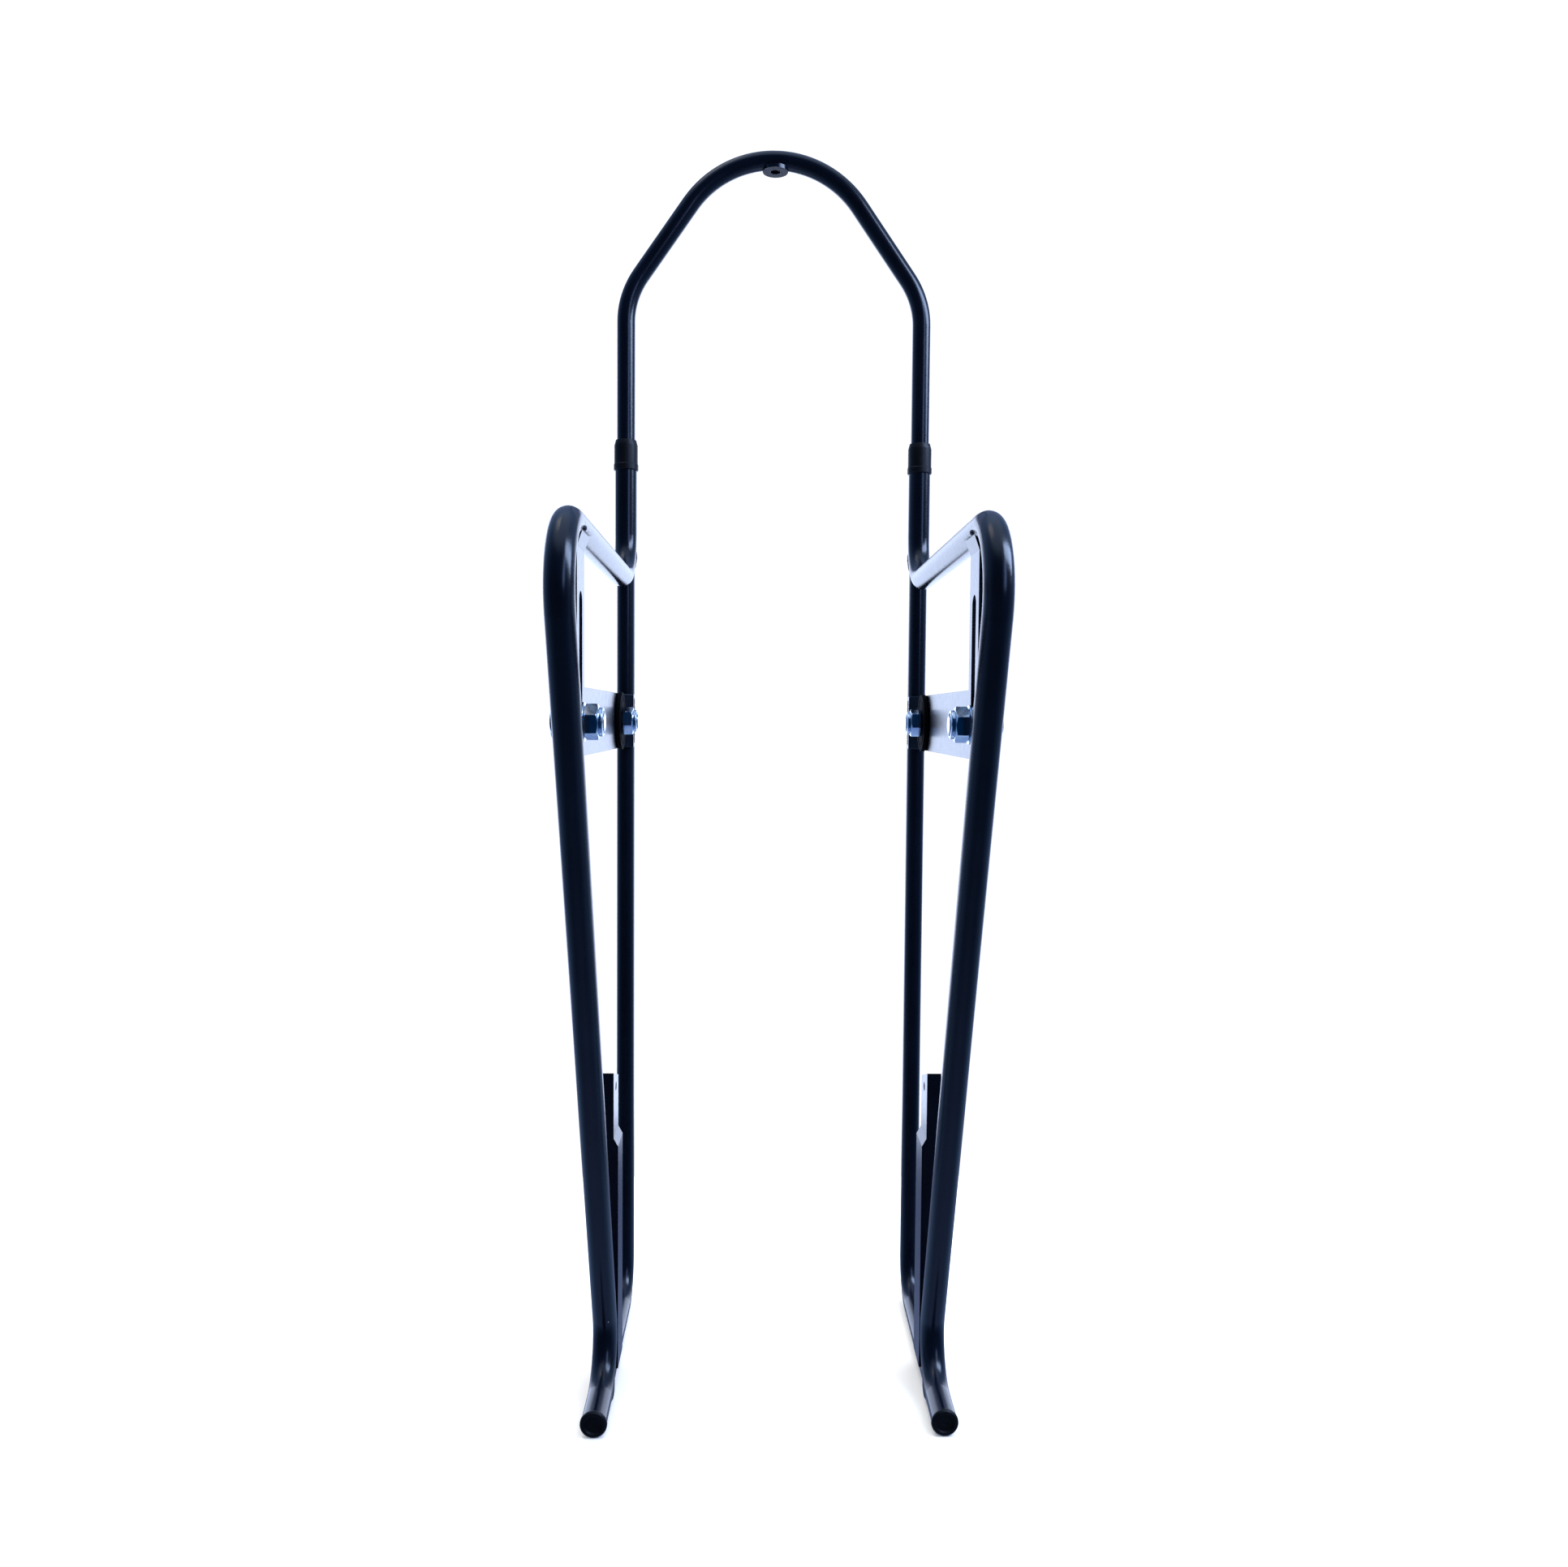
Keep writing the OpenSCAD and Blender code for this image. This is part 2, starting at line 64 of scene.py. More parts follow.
def make_camera():
    """The camera at the photograph's viewing angle."""
    forward = Vector((
        math.sin(CAMERA_TURN) * math.cos(CAMERA_TILT),
        math.cos(CAMERA_TURN) * math.cos(CAMERA_TILT),
        -math.sin(CAMERA_TILT),
    ))
    right = Vector((math.cos(CAMERA_TURN), -math.sin(CAMERA_TURN), 0))
    down = forward.cross(right)
    turned_right = math.cos(CAMERA_ROLL) * right + math.sin(CAMERA_ROLL) * down
    turned_down = math.cos(CAMERA_ROLL) * down - math.sin(CAMERA_ROLL) * right
    data = bpy.data.cameras.new("camera")
    data.lens = CAMERA_LENS
    data.sensor_width = SENSOR_WIDTH
    data.clip_start = CLIP_START
    camera = bpy.data.objects.new("camera", data)
    camera.matrix_world = (
        Matrix.Translation(CAMERA_PLACE)
        @ Matrix((turned_right, -turned_down, -forward)).transposed().to_4x4()
    )
    bpy.context.scene.collection.objects.link(camera)
    bpy.context.scene.camera = camera


# ---------------------------------------------------------------- node helpers

COLOUR_A, COLOUR_B, COLOUR_RESULT = 6, 7, 2   # a mix node's sockets for colours
SPECK_CORE = 0.6        # share of a speck that is fully coloured


def new_material(name):
    """A material, its node tree and its shader."""
    material = bpy.data.materials.new(name)
    material.use_nodes = True
    return material, material.node_tree, material.node_tree.nodes["Principled BSDF"]


def add(tree, kind, **values):
    """One node, with its attributes and input values set by name."""
    made = tree.nodes.new(kind)
    for key, value in values.items():
        if key in made.inputs:
            made.inputs[key].default_value = value
        else:
            setattr(made, key, value)
    return made


def noise(tree, where, scale, detail=3.0, roughness=0.5):
    made = add(tree, "ShaderNodeTexNoise", Scale=scale, Detail=detail, Roughness=roughness)
    tree.links.new(where, made.inputs["Vector"])
    return made.outputs["Fac"]


def ramp(tree, factor, stops):
    """A colour ramp whose stops are (position, colour) pairs."""
    made = add(tree, "ShaderNodeValToRGB")
    while len(made.color_ramp.elements) < len(stops):
        made.color_ramp.elements.new(0.5)
    for element, (position, colour) in zip(made.color_ramp.elements, stops):
        element.position = position
        element.color = (*colour, 1)
    tree.links.new(factor, made.inputs["Fac"])
    return made.outputs["Color"]


def spread(tree, value, low, high, from_low=0.0, from_high=1.0, smooth=False):
    """The value, mapped from its own range to low..high."""
    made = add(tree, "ShaderNodeMapRange", interpolation_type="SMOOTHSTEP" if smooth else "LINEAR")
    made.inputs["From Min"].default_value = from_low
    made.inputs["From Max"].default_value = from_high
    made.inputs["To Min"].default_value = low
    made.inputs["To Max"].default_value = high
    tree.links.new(value, made.inputs["Value"])
    return made.outputs["Result"]


def mottle(tree, where, scale, dark, light):
    """A tone that wanders between two colours."""
    return ramp(tree, noise(tree, where, scale), [(0.3, dark), (0.7, light)])


def object_place(tree):
    """A point's place in its own object, so that a texture moves with the piece."""
    return add(tree, "ShaderNodeTexCoord").outputs["Object"]


def bump(tree, height, distance, strength=1.0, below=None):
    """A normal that is bent by a height, in metres, on top of another bump if one is given."""
    made = add(tree, "ShaderNodeBump", Strength=strength, Distance=distance)
    tree.links.new(height, made.inputs["Height"])
    if below:
        tree.links.new(below, made.inputs["Normal"])
    return made.outputs["Normal"]


def specks(tree, where, scale, size, share):
    """1 in a few small round spots, 0 elsewhere: size is a share of the cell, share that of the cells."""
    cells = add(tree, "ShaderNodeTexVoronoi", Scale=scale)
    tree.links.new(where, cells.inputs["Vector"])
    spot = spread(tree, cells.outputs["Distance"], 1, 0, size * SPECK_CORE, size)
    red = add(tree, "ShaderNodeSeparateColor")
    tree.links.new(cells.outputs["Color"], red.inputs["Color"])
    chosen = add(tree, "ShaderNodeMath", operation="LESS_THAN")
    chosen.inputs[1].default_value = share
    tree.links.new(red.outputs["Red"], chosen.inputs[0])
    both = add(tree, "ShaderNodeMath", operation="MULTIPLY")
    tree.links.new(spot, both.inputs[0])
    tree.links.new(chosen.outputs[0], both.inputs[1])
    return both.outputs[0]


def mix_colour(tree, factor, first, second, blend="MIX"):
    made = add(tree, "ShaderNodeMix", data_type="RGBA", blend_type=blend)
    tree.links.new(factor, made.inputs["Factor"])
    for socket, value in ((made.inputs[COLOUR_A], first), (made.inputs[COLOUR_B], second)):
        if isinstance(value, bpy.types.NodeSocket):
            tree.links.new(value, socket)
        else:
            socket.default_value = (*value, 1)
    return made.outputs[COLOUR_RESULT]


# ---------------------------------------------------------------- materials

def powder_coat():
    """Satin black powder coat with a navy cast, orange peel and a few specks of dust."""
    material, tree, shader = new_material("powder_coat")
    where = object_place(tree)
    tone = mottle(tree, where, 38, (0.0001, 0.0010, 0.0048), (0.0003, 0.0019, 0.0076))
    dust = specks(tree, where, 62, 0.022, 0.22)
    tree.links.new(mix_colour(tree, dust, tone, (0.30, 0.33, 0.38)), shader.inputs["Base Color"])
    tree.links.new(spread(tree, noise(tree, where, 420, 2), 0.19, 0.27), shader.inputs["Roughness"])
    peel = bump(tree, noise(tree, where, 780, 1.5), 0.00004, 0.35)
    fine = bump(tree, noise(tree, where, 3200, 2), 0.00001, 0.25, peel)
    tree.links.new(fine, shader.inputs["Normal"])
    return material


def zinc_plate():
    """Bright zinc plating with a blue passivated cast and cloudy stains."""
    material, tree, shader = new_material("zinc_plate")
    where = object_place(tree)
    cloud = noise(tree, where, 260, 4)
    tone = ramp(tree, cloud, [
        (0.30, (0.46, 0.58, 0.72)), (0.52, (0.62, 0.71, 0.80)), (0.75, (0.72, 0.76, 0.76)),
    ])
    tree.links.new(tone, shader.inputs["Base Color"])
    shader.inputs["Metallic"].default_value = 1
    tree.links.new(spread(tree, noise(tree, where, 900, 3), 0.10, 0.24), shader.inputs["Roughness"])
    grain = bump(tree, noise(tree, where, 2600, 3), 0.00002, 0.4)
    tree.links.new(grain, shader.inputs["Normal"])
    return material


def friction_rubber():
    """Matt black rubber with a fine moulded grain."""
    material, tree, shader = new_material("friction_rubber")
    where = object_place(tree)
    tone = mottle(tree, where, 300, (0.0004, 0.0006, 0.0014), (0.0010, 0.0014, 0.0028))
    tree.links.new(tone, shader.inputs["Base Color"])
    shader.inputs["Specular IOR Level"].default_value = 0.03
    tree.links.new(spread(tree, noise(tree, where, 1200), 0.66, 0.84), shader.inputs["Roughness"])
    tree.links.new(bump(tree, noise(tree, where, 2400, 3), 0.00005, 0.5), shader.inputs["Normal"])
    return material


def moulded_plastic():
    """Black moulded plastic with a fine spark-eroded texture."""
    material, tree, shader = new_material("moulded_plastic")
    where = object_place(tree)
    tone = mottle(tree, where, 160, (0.0006, 0.0010, 0.0022), (0.0014, 0.0020, 0.0040))
    tree.links.new(tone, shader.inputs["Base Color"])
    shader.inputs["Specular IOR Level"].default_value = 0.32
    tree.links.new(spread(tree, noise(tree, where, 700), 0.38, 0.54), shader.inputs["Roughness"])
    tree.links.new(bump(tree, noise(tree, where, 1900, 2), 0.00003, 0.4), shader.inputs["Normal"])
    return material


def nylon():
    """Milky nylon of a lock nut's ring."""
    material, tree, shader = new_material("nylon")
    where = object_place(tree)
    tone = mottle(tree, where, 400, (0.50, 0.56, 0.62), (0.62, 0.66, 0.70))
    tree.links.new(tone, shader.inputs["Base Color"])
    tree.links.new(spread(tree, noise(tree, where, 1500), 0.35, 0.5), shader.inputs["Roughness"])
    tree.links.new(bump(tree, noise(tree, where, 2500), 0.00002, 0.3), shader.inputs["Normal"])
    return material


def studio_floor():
    """A pale, almost white matt floor."""
    material, tree, shader = new_material("studio_floor")
    where = object_place(tree)
    tone = mottle(tree, where, 3, (0.90, 0.91, 0.93), (0.93, 0.94, 0.95))
    tree.links.new(tone, shader.inputs["Base Color"])
    shader.inputs["Roughness"].default_value = 0.9
    return material


MATERIALS = {
    "coat": powder_coat(),
    "zinc": zinc_plate(),
    "rubber": friction_rubber(),
    "plastic": moulded_plastic(),
    "nylon": nylon(),
}

# ---------------------------------------------------------------- studio

# What the coat mirrors, from the camera's side (Y = -1) round to the backdrop (Y = 1).
AROUND = [
    (-1.0, (0.0, 0.012, 0.045)), (-0.5, (0.010, 0.040, 0.11)), (0.0, (0.10, 0.20, 0.44)),
    (0.5, (0.22, 0.38, 0.74)), (0.84, (0.26, 0.34, 0.60)), (0.93, (0.05, 0.08, 0.20)),
]
BELOW = (0.16, 0.24, 0.56)       # steeply below, on the camera's side
STEEP = (0.54, 0.74, 1.12)       # steeply above, and steeply below behind the rack
BACKDROP = (1.85, 2.15, 2.90)    # the band behind the rack, about level with it
BAND_DEPTH = (0.60, 0.90)        # where the band fades in, as the direction's Y
BAND_HEIGHT = (0.305, 0.335)     # where it fades out, as the size of the direction's Z
BEHIND = (0.0, 0.4)              # from the camera's side to behind the rack, as the direction's Y
LOW_DOWN = (-0.97, -0.70)        # from steeply below to level, as the direction's Z
HIGH_UP = (0.70, 0.95)           # from level to steeply above
ROOM_STRENGTH = 1.05             # what the camera and matt surfaces see
FLOOR_FRONT = -0.06
FLOOR_BACK = 0.30
FLOOR_SIDE = 0.15
RACK_MIDDLE = Vector((0, 0, 0.35))
ACROSS = (1, 0, 0)
ALONG_SIDE_LIGHT = (0.53, 0.64, -0.41)


def make_world():
    """White to the camera and to matt surfaces; in reflections, navy with a white band behind the rack."""
    world = bpy.data.worlds.new("studio")
    world.cycles.sampling_method = "NONE"
    bpy.context.scene.world = world
    world.use_nodes = True
    tree = world.node_tree
    direction = add(tree, "ShaderNodeSeparateXYZ")
    tree.links.new(add(tree, "ShaderNodeTexCoord").outputs["Generated"], direction.inputs[0])
    depth, height = direction.outputs["Y"], direction.outputs["Z"]
    around = ramp(
        tree, spread(tree, depth, 0, 1, -1, 1),
        [((place + 1) / 2, colour) for place, colour in AROUND],
    )
    under = mix_colour(tree, spread(tree, depth, 0, 1, *BEHIND, smooth=True), BELOW, STEEP)
    low_down = spread(tree, height, 1, 0, *LOW_DOWN, smooth=True)
    lit_below = mix_colour(tree, low_down, around, under, "LIGHTEN")
    high_up = spread(tree, height, 0, 1, *HIGH_UP, smooth=True)
    lit_above = mix_colour(tree, high_up, lit_below, STEEP)
    level = add(tree, "ShaderNodeMath", operation="ABSOLUTE")
    tree.links.new(height, level.inputs[0])
    band = add(tree, "ShaderNodeMath", operation="MULTIPLY")
    tree.links.new(spread(tree, depth, 0, 1, *BAND_DEPTH, smooth=True), band.inputs[0])
    tree.links.new(spread(tree, level.outputs[0], 1, 0, *BAND_HEIGHT, smooth=True), band.inputs[1])
    mirrored = tree.nodes["Background"]
    tree.links.new(mix_colour(tree, band.outputs[0], lit_above, BACKDROP), mirrored.inputs["Color"])
    seen = add(tree, "ShaderNodeBackground", Color=(1, 1, 1, 1), Strength=ROOM_STRENGTH)
    choose = add(tree, "ShaderNodeMixShader")
    tree.links.new(add(tree, "ShaderNodeLightPath").outputs["Is Glossy Ray"], choose.inputs["Fac"])
    tree.links.new(seen.outputs[0], choose.inputs[1])
    tree.links.new(mirrored.outputs[0], choose.inputs[2])
    tree.links.new(choose.outputs[0], tree.nodes["World Output"].inputs["Surface"])


def softbox(name, place, along, width, height, power, colour):
    """A rectangular light that faces the rack's middle, with its width laid roughly along a direction."""
    data = bpy.data.lights.new(name, "AREA")
    data.shape = "RECTANGLE"
    data.size = width
    data.size_y = height
    data.energy = power
    data.color = colour
    light = bpy.data.objects.new(name, data)
    away = (Vector(place) - RACK_MIDDLE).normalized()
    up = away.cross(Vector(along)).normalized()
    turned = Matrix((up.cross(away), up, away)).transposed().to_4x4()
    light.matrix_world = Matrix.Translation(place) @ turned
    bpy.context.scene.collection.objects.link(light)
    return light


def make_floor():
    """A patch of floor under the rack, which takes its shadow but isn't mirrored in the tubes."""
    mesh = bpy.data.meshes.new("floor")
    corners = [
        (-FLOOR_SIDE, FLOOR_FRONT, 0), (FLOOR_SIDE, FLOOR_FRONT, 0),
        (FLOOR_SIDE, FLOOR_BACK, 0), (-FLOOR_SIDE, FLOOR_BACK, 0),
    ]
    mesh.from_pydata(corners, [], [(0, 1, 2, 3)])
    mesh.materials.append(studio_floor())
    floor = bpy.data.objects.new("floor", mesh)
    bpy.context.scene.collection.objects.link(floor)
    floor.visible_glossy = False


def make_studio():
    """The world, four soft lights and the floor. The side light makes the bends' highlights."""
    make_world()
    top_light = softbox("top_light", (0, 0.4, 1.9), ACROSS, 1.8, 1.6, 30, (0.96, 0.98, 1.0))
    top_light.visible_glossy = False
    softbox("side_light", (0.92, -0.22, 1.05), ALONG_SIDE_LIGHT, 0.95, 0.42, 16, (0.50, 0.65, 1.0))
    softbox("front_light", (0.95, -1.20, 0.95), ACROSS, 0.30, 0.9, 3.6, (0.32, 0.50, 1.0))
    softbox("room_light", (-0.42, 0.1, 1.63), ACROSS, 0.4, 0.5, 0.7, (1.0, 0.84, 0.70))
    make_floor()
    bpy.context.scene.view_settings.view_transform = "Standard"


# ---------------------------------------------------------------- mesh helpers

SEGMENTS = 48           # points around a turned piece
CURVE_STEPS = 3         # parts of a rounded corner
LONGEST_CUT = 0.45      # share of a side that a corner's curve may take up
EDGE_SEGMENTS = 2
RING_POINTS = 72        # rays for a weld that goes round a rod


def filleted(corners, width, closed=False):
    """An outline whose corners are turned into short curves that start the given distance away."""
    corners = [Vector(corner) for corner in corners]
    curve = []
    for index, corner in enumerate(corners):
        if not closed and index in (0, len(corners) - 1):
            curve.append(corner)
            continue
        before = corners[index - 1] - corner
        after = corners[(index + 1) % len(corners)] - corner
        first = corner + before * min(LONGEST_CUT, width / before.length)
        last = corner + after * min(LONGEST_CUT, width / after.length)
        for step in range(CURVE_STEPS + 1):
            share = step / CURVE_STEPS
            curve.append(first * (1 - share) ** 2 + corner * 2 * share * (1 - share) + last * share ** 2)
    return curve


def bridge(bm, low, high):
    """Faces between two rings of points, either of which may be a single point on the axis."""
    count = max(len(low), len(high))
    for index in range(count):
        after = (index + 1) % count
        first = [low[index % len(low)], low[after % len(low)]]
        last = [high[after % len(high)], high[index % len(high)]]
        face = list(dict.fromkeys(first + last))
        if len(face) > 2:
            bm.faces.new(face)


def turn(bm, sections, closed=False):
    """Turns sections around Z: each is (radius, height), or a function of the angle that gives them."""
    rings = []
    for section in sections:
        if not callable(section) and section[0] == 0:
            rings.append([bm.verts.new((0, 0, section[1]))])
            continue
        ring = []
        for index in range(SEGMENTS):
            angle = 2 * math.pi * index / SEGMENTS
            radius, height = section(angle) if callable(section) else section
            ring.append(bm.verts.new((radius * math.cos(angle), radius * math.sin(angle), height)))
        rings.append(ring)
    for low, high in zip(rings, rings[1:]):
        bridge(bm, low, high)
    if closed:
        bridge(bm, rings[-1], rings[0])


def finish_piece(name, bm, place, slot, body, edge=0.0, sharp=30):
    """Makes a piece of a mesh, with rounded edges, and lets it ride on a body."""
    bmesh.ops.recalc_face_normals(bm, faces=bm.faces)
    mesh = bpy.data.meshes.new(name)
    bm.to_mesh(mesh)
    bm.free()
    mesh.transform(place)
    mesh.polygons.foreach_set("use_smooth", [True] * len(mesh.polygons))
    mesh.set_sharp_from_angle(angle=math.radians(sharp))
    mesh.materials.append(MATERIALS[slot])
    piece = bpy.data.objects.new(name, mesh)
    bpy.context.scene.collection.objects.link(piece)
    if edge:
        round_over = piece.modifiers.new("edge", "BEVEL")
        round_over.width = edge
        round_over.segments = EDGE_SEGMENTS
        round_over.limit_method = "ANGLE"
        round_over.angle_limit = math.radians(sharp)
    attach(piece, body)
    return piece


def on_node(node, side, inwards, spin=0.0):
    """A place on an X-facing node: Z points in or out of the rack from its outer or inner face, X is up."""
    low, high = (Vector(corner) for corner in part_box(node))
    middle = (low + high) / 2
    outer = high.x if side > 0 else low.x
    inner = low.x if side > 0 else high.x
    way = -side if inwards else side
    axes = Matrix(((0, 0, way), (0, -way, 0), (1, 0, 0))).to_4x4()
    start = Vector((outer if inwards else inner, middle.y, middle.z))
    return Matrix.Translation(start) @ axes @ Matrix.Rotation(math.radians(spin), 4, "Z")


# ---------------------------------------------------------------- fasteners

FLAT = 6.5 * MM         # half the width across a hexagon's flats
CORNER = 7.42 * MM      # from a hexagon's centre to its worn corner
CHAMFER_START = 6.2 * MM
CHAMFER_SLOPE = math.tan(math.radians(30))
THREAD_R = 4 * MM
THREAD_DEPTH = 0.62 * MM
THREAD_PITCH = 1.25 * MM
THREAD_STEPS = 8        # rings of points for each pitch
GROOVE_SLOPE = 2.5      # over 2, so that the groove has a flat floor; its crests stay sharp
TIP_CHAMFER = 0.7 * MM
TIP_SLOPE = 0.8
HEAD_H = 5.3 * MM
DISH = 0.25 * MM        # depth of the hollow in a bolt's head
DISH_RIM = FLAT * 0.66
DISH_FLOOR = FLAT * 0.58
NUT_H = 7.6 * MM
NUT_HEX_H = 5.8 * MM
WASHER_EDGE = 0.3 * MM
RING_EDGE = 0.3 * MM
SLOT_NUT_TURN = {"left": 8, "right": -5}   # degrees, as the photograph shows the nuts
PIVOT_NUT_TURN = 11
FASTENER_EDGE = 0.1 * MM


def hexagon_reach(angle):
    """Distance from a hexagon's centre to its side, with its corners at multiples of 60 degrees."""
    from_flat = angle % (math.pi / 3) - math.pi / 6
    return min(CORNER, FLAT / math.cos(from_flat))


def chamfered(height, way):
    """A hexagon's edge at a height, where a cone has turned its corners off upwards or downwards."""
    def section(angle):
        reach = hexagon_reach(angle)
        return reach, height - way * (reach - CHAMFER_START) * CHAMFER_SLOPE
    return section


def thread(bm, length):
    """A screw thread that hangs from Z = 0 down to -length, with a chamfered tip."""
    rows = int(length / THREAD_PITCH * THREAD_STEPS)
    sections = [(0, 0), (THREAD_R - THREAD_DEPTH, 0)]
    for row in range(1, rows + 1):
        height = -length * row / rows

        def section(angle, height=height):
            phase = (height / THREAD_PITCH + angle / (2 * math.pi)) % 1
            cut = THREAD_DEPTH * min(1, max(0, GROOVE_SLOPE * (0.5 - abs(phase - 0.5))))
            limit = THREAD_R - max(0, TIP_CHAMFER - (length + height)) * TIP_SLOPE
            return min(THREAD_R - cut, limit), height
        sections.append(section)
    turn(bm, sections + [(0, -length)])


def hex_bolt(side_name, side, place, body):
    """A hexagon bolt with a dished head and a real thread."""
    node = f"{side_name}_{place}_bolt"
    low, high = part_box(node)
    bm = bmesh.new()
    turn(bm, [
        (0, 0), (CHAMFER_START, 0), chamfered(0, -1), chamfered(HEAD_H, 1), (CHAMFER_START, HEAD_H),
        (DISH_RIM, HEAD_H), (DISH_FLOOR, HEAD_H - DISH), (0, HEAD_H - DISH),
    ])
    length = high[0] - low[0] - HEAD_H
    thread(bm, length)
    start = on_node(node, side, False) @ Matrix.Translation((0, 0, length))
    piece = finish_piece(f"{side_name}_{place}_hex_bolt", bm, start, "zinc", body, edge=FASTENER_EDGE)
    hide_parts(node)


def lock_nut(side_name, side, place, body, spin):
    """A lock nut: hexagon, rolled collar and the nylon ring that the collar holds."""
    node = f"{side_name}_{place}_nut"
    bore = THREAD_R + 0.02 * MM
    lip, seat = 4.75 * MM, 5.15 * MM
    bm = bmesh.new()
    turn(bm, [
        (bore, 0.5 * MM), (bore + 0.5 * MM, 0), (CHAMFER_START, 0), chamfered(0, -1),
        chamfered(NUT_HEX_H, 1), (CHAMFER_START, NUT_HEX_H), (5.95 * MM, NUT_HEX_H + 0.1 * MM),
        (5.9 * MM, 6.75 * MM), (5.72 * MM, 7.25 * MM), (5.3 * MM, 7.54 * MM), (lip + 0.15 * MM, NUT_H),
        (lip, NUT_H - 0.12 * MM), (lip, NUT_H - 0.35 * MM), (seat, NUT_H - 0.42 * MM), (seat, 4.8 * MM),
        (bore, 4.8 * MM),
    ], closed=True)
    start = on_node(node, side, True, spin)
    piece = finish_piece(f"{side_name}_{place}_lock_nut", bm, start, "zinc", body, edge=FASTENER_EDGE)
    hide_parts(node)
    low, high, outer = 4.85 * MM, NUT_H - 0.46 * MM, 5.1 * MM
    outline = [(bore, low), (outer, low), (outer, high), (bore, high)]
    ring = bmesh.new()
    turn(ring, filleted(outline, RING_EDGE, closed=True), closed=True)
    piece = finish_piece(f"{side_name}_{place}_nylon_ring", ring, start, "nylon", body)
    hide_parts(node + "_ring")


def washer(side_name, side, body):
    """The slot's plain washer, with the rolled edge of a stamping."""
    node = f"{side_name}_slot_washer"
    low, high = (Vector(corner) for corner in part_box(node))
    thick, outer = high.x - low.x, (high.z - low.z) / 2
    inner = THREAD_R + 0.2 * MM
    outline = [(inner, 0), (outer, 0), (outer, thick), (inner, thick)]
    bm = bmesh.new()
    turn(bm, filleted(outline, WASHER_EDGE, closed=True), closed=True)
    piece = finish_piece(f"{side_name}_plain_washer", bm, on_node(node, side, True), "zinc", body)
    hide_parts(node)


# ---------------------------------------------------------------- rubber and plastic

SOFT_SHARP = 50         # degrees; moulded pieces keep only their harder edges
GROOVE_DEPTH = 0.35 * MM
DISC_EDGE = 0.45 * MM
CAP_LIP = 2 * MM
CAP_EDGE = 0.3 * MM
CAP_RIBS = (3 * MM, 6 * MM, 9 * MM)
RIB_H = 0.3 * MM


def friction_disc(side_name, side, body):
    """A moulded rubber disc with a soft edge, a raised rim and a ring groove."""
    node = f"{side_name}_friction_disc"
    low, high = (Vector(corner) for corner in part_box(node))
    thick, outer = high.x - low.x, (high.z - low.z) / 2
    inner = THREAD_R + 0.1 * MM
    bottom = thick - GROOVE_DEPTH
    outline = [
        (inner, 0), (outer, 0), (outer, thick), (outer - 2.2 * MM, thick), (outer - 2.6 * MM, bottom),
        (outer - 3.6 * MM, bottom), (outer - 4.0 * MM, thick), (inner, thick),
    ]
    bm = bmesh.new()
    turn(bm, filleted(outline, DISC_EDGE, closed=True), closed=True)
    place = on_node(node, side, True)
    piece = finish_piece(f"{side_name}_rubber_disc", bm, place, "rubber", body, sharp=SOFT_SHARP)
    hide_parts(node)


def end_cap(side_name):
    """A moulded plug: a rounded rim around a shallow recess, and a ribbed hollow shank in the tube."""
    node = f"{side_name}_end_cap"
    low, high = (Vector(corner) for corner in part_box(node))
    rim = (high.x - low.x) / 2
    shank, depth = 5 * MM, high.y - low.y - CAP_LIP
    recess, floor = 4.35 * MM, CAP_LIP - 0.95 * MM
    gate = floor - 0.2 * MM
    between_ribs = shank - RIB_H
    hollow, hollow_end = 3.4 * MM, -depth / 3
    outline = [
        (0, gate), (1.1 * MM, gate), (1.5 * MM, floor), (recess - 0.2 * MM, floor),
        (recess, CAP_LIP), (rim - 0.75 * MM, CAP_LIP), (rim, CAP_LIP - 0.8 * MM), (rim, 0), (shank, 0),
    ]
    for rib in CAP_RIBS:
        outline += [(between_ribs, -rib + 0.5 * MM), (shank, -rib), (between_ribs, -rib - 0.1 * MM)]
    outline += [(between_ribs, -depth), (hollow, -depth), (hollow, hollow_end), (0, hollow_end)]
    bm = bmesh.new()
    turn(bm, filleted(outline, CAP_EDGE))
    middle = (low + high) / 2
    start = Matrix.Translation((middle.x, low.y + CAP_LIP, middle.z)) @ Matrix.Rotation(math.pi / 2, 4, "X")
    piece = finish_piece(f"{side_name}_tube_plug", bm, start, "plastic", "frame", sharp=SOFT_SHARP)
    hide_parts(node)


# ---------------------------------------------------------------- welds

WELD_R = 1.15 * MM
THIN_WELD_R = 0.9 * MM
WELD_SIDES = 10
WELD_SHARP = 80             # degrees; higher than the ripples' edges, so that they stay soft
RIPPLE_PITCH = 1.4 * MM
RIPPLE = 0.14               # share of the bead's radius that each ripple loses
END_SHARE = 0.35            # a bead's radius at its very end, and what each further ring adds
RAY_REACH = 60 * MM
OFF_SURFACE = 0.2 * MM      # how far a ray runs from the face that it goes along
UNDER_TOP_BAR = 390 * MM    # heights and distances from which the rays start
BEHIND_LOWER_BEND = 30 * MM
STRAP_WELD_DROP = 12 * MM
BEHIND_FOOT_STRAP = 20 * MM
ABOVE_ROD = 30 * MM
INSIDE_ROD = 20 * MM
FOOT_WELD_BOTTOM = 10 * MM
FOOT_WELD_TOP = 50 * MM
FOOT_WELD_OUT = 0.3 * MM    # how far outside of the strap's outer face the beads' middle lies
FOOT_WELD_REACH = 0.5 * MM  # forward of the strap's front edge; beyond it the tube has left the strap
BRACKET_WELD_SHARE = 0.45   # of the rod's radius, forward of its axis
STRAP_STEP = 2.2 * MM       # how far the lower strap's top steps outwards
LINE_POINTS = {"strap": 24, "foot": 60, "foot_rod": 26, "bracket": 34}


